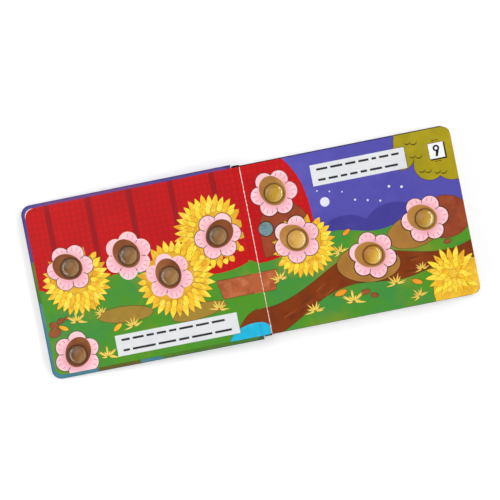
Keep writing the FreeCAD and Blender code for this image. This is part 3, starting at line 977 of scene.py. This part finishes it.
BEND_STEPS = 14
JOINT_STEPS = 8
SHEET_EDGE = 0.1 * MM
SPINE_PAPER = 0.4 * MM
JOINT_PAPER = 0.3 * MM
red_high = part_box("left_red_field")[1]
fold_left = red_high.x
mesh = sheet_along_fold("fold_sheet", fold_left, fold_x, tail_y, head_y, strip_low.z, page_top, BEND_STEPS)
for vertex in mesh.vertices:
    if vertex.co.x < fold_left + SHEET_EDGE:
        on_top = vertex.co.z > page_top - SHEET_EDGE
        vertex.co.z = red_high.z if on_top else red_high.z - SHEET_EDGE
fold_print = wrap_finish("print over the fold", fold_colours, 0.08, worn=0.0)
fold_sheet = settle(mesh, "fold_sheet", None, fold_print)
mesh.materials.append(card)
for polygon in mesh.polygons:
    polygon.material_index = 0 if polygon.normal.z > 0.5 else 1
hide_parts("gutter_strip", "gutter_red_band", "gutter_green_band", "gutter_brown_band")
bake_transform(fold_sheet)

spine_mesh = sheet_along_fold("spine_paper", spine_low.x, fold_x - SPINE_PAPER, spine_low.y, spine_high.y,
                              spine_high.z - SPINE_PAPER, spine_high.z, BEND_STEPS)
spine_paper = settle(spine_mesh, "spine_paper", None, back_wrap)
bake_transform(spine_paper)
back_mesh = sheet_along_fold("spine_back", fold_x - SPINE_PAPER, fold_x, spine_low.y, spine_high.y,
                             spine_low.z, spine_high.z, 1)
spine_back = settle(back_mesh, "spine_back", "pages", back_wrap)
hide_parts("spine_cover")

joint_mesh = sheet_along_fold("joint_paper", fold_x - SPINE_PAPER, back_low.x, spine_low.y, spine_high.y,
                              back_high.z - JOINT_PAPER, spine_low.z, JOINT_STEPS)
joint_paper = settle(joint_mesh, "joint_paper", None, back_wrap)
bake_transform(joint_paper)


# The crease at the fold, worn and with painted highlight and shade, and a pale stroke round the first leaf's
# upper corner

PAGE_CORNER = 9.0
CREASE_WIDTH = 0.8
CREASE_END = 0.3
chance = random.Random(7)


def crease_wear_and_shading():
    """A pale line along the crease, partly worn paper and partly a painted highlight on its ridge, with bare
    flakes and small dark marks of painted shade along it.
    """
    flakes = bmesh.new()
    shade_marks = bmesh.new()
    groove = bmesh.new()
    x0 = fold_x / MM
    y = tail_y / MM + 1.0
    add_bar(groove, x0 - CREASE_WIDTH / 2, tail_y / MM + CREASE_END, CREASE_WIDTH,
            (head_y - tail_y) / MM - 2 * CREASE_END, 1)
    while y < head_y / MM - 1.5:
        length = chance.uniform(0.8, 3.4)
        add_round(flakes, x0 + chance.uniform(-0.15, 0.2), y + length / 2, chance.uniform(0.22, 0.5),
                  length / 2, chance.uniform(-8, 8), 4, 7)
        if chance.random() < 0.45:
            add_round(shade_marks, x0 + chance.choice((-0.7, 0.75)), y + length, 0.22, chance.uniform(0.5, 1.2),
                      chance.uniform(-12, 12), 3, 6)
        y += length + chance.uniform(0.2, 3.2)
    lay_ink(groove, "crease_line", False, crease_sheen_and_wear)
    lay_ink(flakes, "crease_flakes", False, crease_white)
    lay_ink(shade_marks, "crease_shade_marks", False, crease_painted_shade)


def corner_stroke():
    """A thin pale stroke round the upper corner of the first leaf."""
    bm = bmesh.new()
    add_arc(bm, left_level_x + PAGE_CORNER, head_y / MM - PAGE_CORNER, PAGE_CORNER - 0.3, 0.7, 84, 186,
            2, 14)
    lay_ink(bm, "pale_corner_stroke", True, crease_white)


# The crease line's colour is partly worn paper and partly a painted highlight along the crease's ridge. The
# crease's dark marks are painted shade.
crease_sheen_and_wear = print_finish("crease line", (232, 172, 156), (214, 190, 160), (244, 226, 216),
                           0.016, 0.8, 0.8)
crease_white = print_finish("bare paper", (248, 246, 242), (232, 226, 220))
crease_painted_shade = print_finish("crease shade", (74, 36, 28))
crease_wear_and_shading()
corner_stroke()


# Poppers: tinted gloss domes with stepped rims, with painted light in their colour

# A dome's profile as radius and height over the page, in millimetres: its outside, flange and inside
DOME = (
    (0.0, 3.0), (1.8, 2.93), (3.6, 2.7), (5.2, 2.32), (6.0, 2.04), (6.4, 1.92), (6.9, 1.7), (7.3, 1.45),
    (7.7, 1.33), (8.1, 1.05), (8.4, 0.9), (8.8, 0.96), (9.3, 0.98), (9.7, 0.75), (9.95, 0.4), (10.0, 0.1),
    (10.0, -1.1), (12.0, -1.1), (12.0, -1.7), (9.5, -1.7), (9.5, -0.1), (8.0, 0.2), (4.4, 1.6), (0.0, 2.3),
)
DOME_STEPS = 56
DOME_MIDDLE = 1.5 * MM
RING_PITCH = 0.0014
AWAY_FROM_LAMP = (0.8, -0.6, 0.0)
PLASTIC = {"IOR": 1.5, "Coat Weight": 0.25, "Coat Roughness": 0.03}


def make_tinted_dome():
    """The tint of a clear dome over print, with painted light: a painted glow away from the lamp, painted
    highlight arcs there, a painted shade ring at the rim and faint painted shade rings.
    """
    tree, given, result = new_group(
        "tinted dome",
        [("Middle", VECTOR, (0, 0, 0)), ("Tint", COLOUR, (0.3, 0.2, 0.1, 1)),
         ("Glow", COLOUR, (0.5, 0.4, 0.2, 1)), ("Rim", COLOUR, (0.05, 0.03, 0.02, 1)),
         ("Shine", COLOUR, (0.8, 0.7, 0.5, 1))],
        [("Colour", COLOUR), ("Roughness", NUMBER)])
    away = put(tree, "ShaderNodeVectorMath", {0: place(tree), 1: given["Middle"]}, operation="SUBTRACT")
    gap = distance(tree, place(tree), given["Middle"])
    lean = put(tree, "ShaderNodeVectorMath", {0: away.outputs[0], 1: AWAY_FROM_LAMP},
               operation="DOT_PRODUCT").outputs["Value"]
    # Painted light: the side away from the lamp is lighter.
    painted_glow = ramp(tree, plus(tree, lean, times(tree, noise(tree, 200.0, 2.0), 0.003)), -0.006, 0.008)
    tone = mixed(tree, painted_glow, given["Tint"], given["Glow"])
    wave = sums(tree, "SINE", times(tree, gap, 2 * math.pi / RING_PITCH))
    # Painted shade: faint dark rings round the middle.
    painted_ring_shade = times(tree, ramp(tree, wave, 0.2, 1.0), ramp(tree, gap, 0.0045, 0.0065))
    tone = mixed(tree, times(tree, painted_ring_shade, 0.35), tone, given["Rim"])
    # Painted highlight: pale arcs on the side away from the lamp.
    painted_shine = times(tree, ramp(tree, wave, 0.1, -0.9), ramp(tree, gap, 0.003, 0.005))
    painted_shine = times(tree, painted_shine, ramp(tree, lean, 0.003, 0.006))
    tone = mixed(tree, times(tree, painted_shine, 0.4), tone, given["Shine"])
    # Painted shade: a dark ring at the dome's rim.
    edge = ramp(tree, gap, 0.0086, 0.0101)
    tone = mixed(tree, times(tree, edge, 0.8), tone, given["Rim"])
    tree.links.new(tone, result["Colour"])
    tree.links.new(plus(tree, 0.05, times(tree, noise(tree, 350.0, 2.0), 0.1)), result["Roughness"])
    return tree


tinted_dome = make_tinted_dome()

# Each popper's tint, then its painted glow and its painted rim shade
DOME_TINTS = (
    ((112, 76, 38), (144, 102, 56), (52, 32, 16)),
    ((104, 72, 38), (148, 104, 56), (48, 30, 16)),
    ((126, 88, 46), (158, 114, 62), (66, 44, 22)),
    ((110, 76, 42), (152, 108, 62), (50, 32, 18)),
    ((100, 64, 30), (144, 100, 52), (44, 28, 14)),
    ((168, 124, 22), (200, 156, 46), (110, 70, 18)),
    ((204, 152, 60), (224, 178, 92), (150, 102, 40)),
    ((182, 120, 20), (224, 180, 66), (122, 64, 14)),
    ((170, 120, 30), (196, 156, 62), (112, 72, 24)),
)


def dome_finish(k, middle):
    material, tree, shader = new_material(f"popper plastic {k}")
    tint, painted_glow, painted_rim_shade = (ink(*value) for value in DOME_TINTS[k - 1])
    # The painted highlight's colour.
    painted_shine = ink(206, 180, 140) if k <= LEFT_COUNT else ink(255, 236, 190)
    dome = use(tree, tinted_dome, Middle=middle, Tint=tint, Glow=painted_glow, Rim=painted_rim_shade, Shine=painted_shine)
    join(tree, shader, dome["Colour"], dome["Roughness"])
    for label, value in PLASTIC.items():
        shader.inputs[label].default_value = value
    return material


def make_popper(k):
    bm = bmesh.new()
    profile = [bm.verts.new((radius * MM, 0, height * MM)) for radius, height in DOME]
    edges = [bm.edges.new(pair) for pair in zip(profile, profile[1:])]
    bmesh.ops.spin(bm, geom=profile + edges, axis=(0, 0, 1), cent=(0, 0, 0), angle=2 * math.pi,
                   steps=DOME_STEPS, use_merge=True)
    bmesh.ops.remove_doubles(bm, verts=bm.verts[:], dist=0.01 * MM)
    bmesh.ops.recalc_face_normals(bm, faces=bm.faces[:])
    bmesh.ops.translate(bm, verts=bm.verts[:], vec=popper_spots[k - 1])
    middle = popper_spots[k - 1] + Vector((0, 0, DOME_MIDDLE))
    if k <= LEFT_COUNT:
        bmesh.ops.transform(bm, matrix=lay_open, verts=bm.verts[:])
        middle = lay_open @ middle
    for face in bm.faces:
        face.smooth = True
    name = f"popper_dome_{k}"
    piece = settle(mesh_of(bm, name), name, f"popper_{k}_body", dome_finish(k, middle))
    smooth = piece.modifiers.new("round", "SUBSURF")
    smooth.levels = 1
    smooth.render_levels = 1
    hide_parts(f"popper_{k}")


for k in range(1, POPPER_COUNT + 1):
    make_popper(k)

for name, material in finishes.items():
    for slot in nodes[name].material_slots:
        slot.material = material


# Floor, light and camera

FLOOR_HALF = 4.0
FLOOR_COLOUR = (0.86, 0.86, 0.87, 1)
FLOOR_GLOW = 0.2
WHITE = (1, 1, 1, 1)
ROOM_LOW = (0.6, 0.6, 0.6, 1)
ROOM_HIGH = (0.27, 0.27, 0.27, 1)
WINDOW = (18.0, 18.0, 18.0, 1)
LEFT_WINDOW_SHARE = 0.6
KEY_SPOT = (-0.9, 1.1, 2.2)
KEY_SIDE = 2.4
KEY_POWER = 19.0
CAMERA_LENS = 85.0
CAMERA_SENSOR = 36.0
CAMERA_SPOT = (0.0005, 0.00153, 1.2698)
CAMERA_TURN = -11.23


def make_floor():
    """A pale floor that the camera sees a little brighter than it lights the book."""
    bm = bmesh.new()
    bmesh.ops.create_grid(bm, x_segments=1, y_segments=1, size=FLOOR_HALF)
    mesh = mesh_of(bm, "floor")
    floor = placed("floor", mesh)
    material, tree, shader = new_material("pale floor")
    seen = put(tree, "ShaderNodeLightPath").outputs
    shown = sums(tree, "MAXIMUM", seen["Is Camera Ray"], seen["Is Glossy Ray"])
    shown = sums(tree, "MAXIMUM", shown, seen["Is Transmission Ray"])
    shader.inputs["Base Color"].default_value = FLOOR_COLOUR
    shader.inputs["Roughness"].default_value = 0.9
    shader.inputs["Specular IOR Level"].default_value = 0.0
    shader.inputs["Emission Color"].default_value = WHITE
    tree.links.new(times(tree, shown, FLOOR_GLOW), shader.inputs["Emission Strength"])
    mesh.materials.append(material)


def make_world():
    """A grey room with a bright band on its right and left, which the domes mirror."""
    world = bpy.data.worlds.new("studio")
    world.use_nodes = True
    tree = world.node_tree
    sky = tree.nodes["Background"]
    way = put(tree, "ShaderNodeTexCoord").outputs["Generated"]
    parts = put(tree, "ShaderNodeSeparateXYZ", {0: way}).outputs
    east, up = parts[0], parts[2]
    height = ramp(tree, up, 0.2, 0.95)
    room = mixed(tree, height, ROOM_LOW, ROOM_HIGH)
    band = times(tree, ramp(tree, up, 0.4, 0.42), ramp(tree, up, 0.5, 0.48))
    left_side = times(tree, ramp(tree, east, -0.55, -0.7), LEFT_WINDOW_SHARE)
    sides = plus(tree, ramp(tree, east, 0.5, 0.7), left_side)
    room = mixed(tree, times(tree, band, sides), room, WINDOW)
    seen = put(tree, "ShaderNodeLightPath").outputs["Is Camera Ray"]
    tree.links.new(mixed(tree, seen, room, WHITE), sky.inputs["Color"])
    bpy.context.scene.world = world


def make_lamp():
    lamp = bpy.data.lights.new("key", "AREA")
    lamp.shape = "RECTANGLE"
    lamp.size = KEY_SIDE
    lamp.size_y = KEY_SIDE
    lamp.energy = KEY_POWER
    holder = placed("key", lamp)
    holder.location = KEY_SPOT
    holder.rotation_euler = (-Vector(KEY_SPOT)).to_track_quat("-Z", "Y").to_euler()


def make_camera():
    data = bpy.data.cameras.new("camera")
    data.lens = CAMERA_LENS
    data.sensor_width = CAMERA_SENSOR
    data.clip_end = 20.0
    camera = placed("camera", data)
    camera.location = CAMERA_SPOT
    camera.rotation_euler = (0, 0, math.radians(CAMERA_TURN))
    bpy.context.scene.camera = camera


make_floor()
make_world()
make_lamp()
make_camera()
bpy.context.scene.view_settings.view_transform = "Standard"
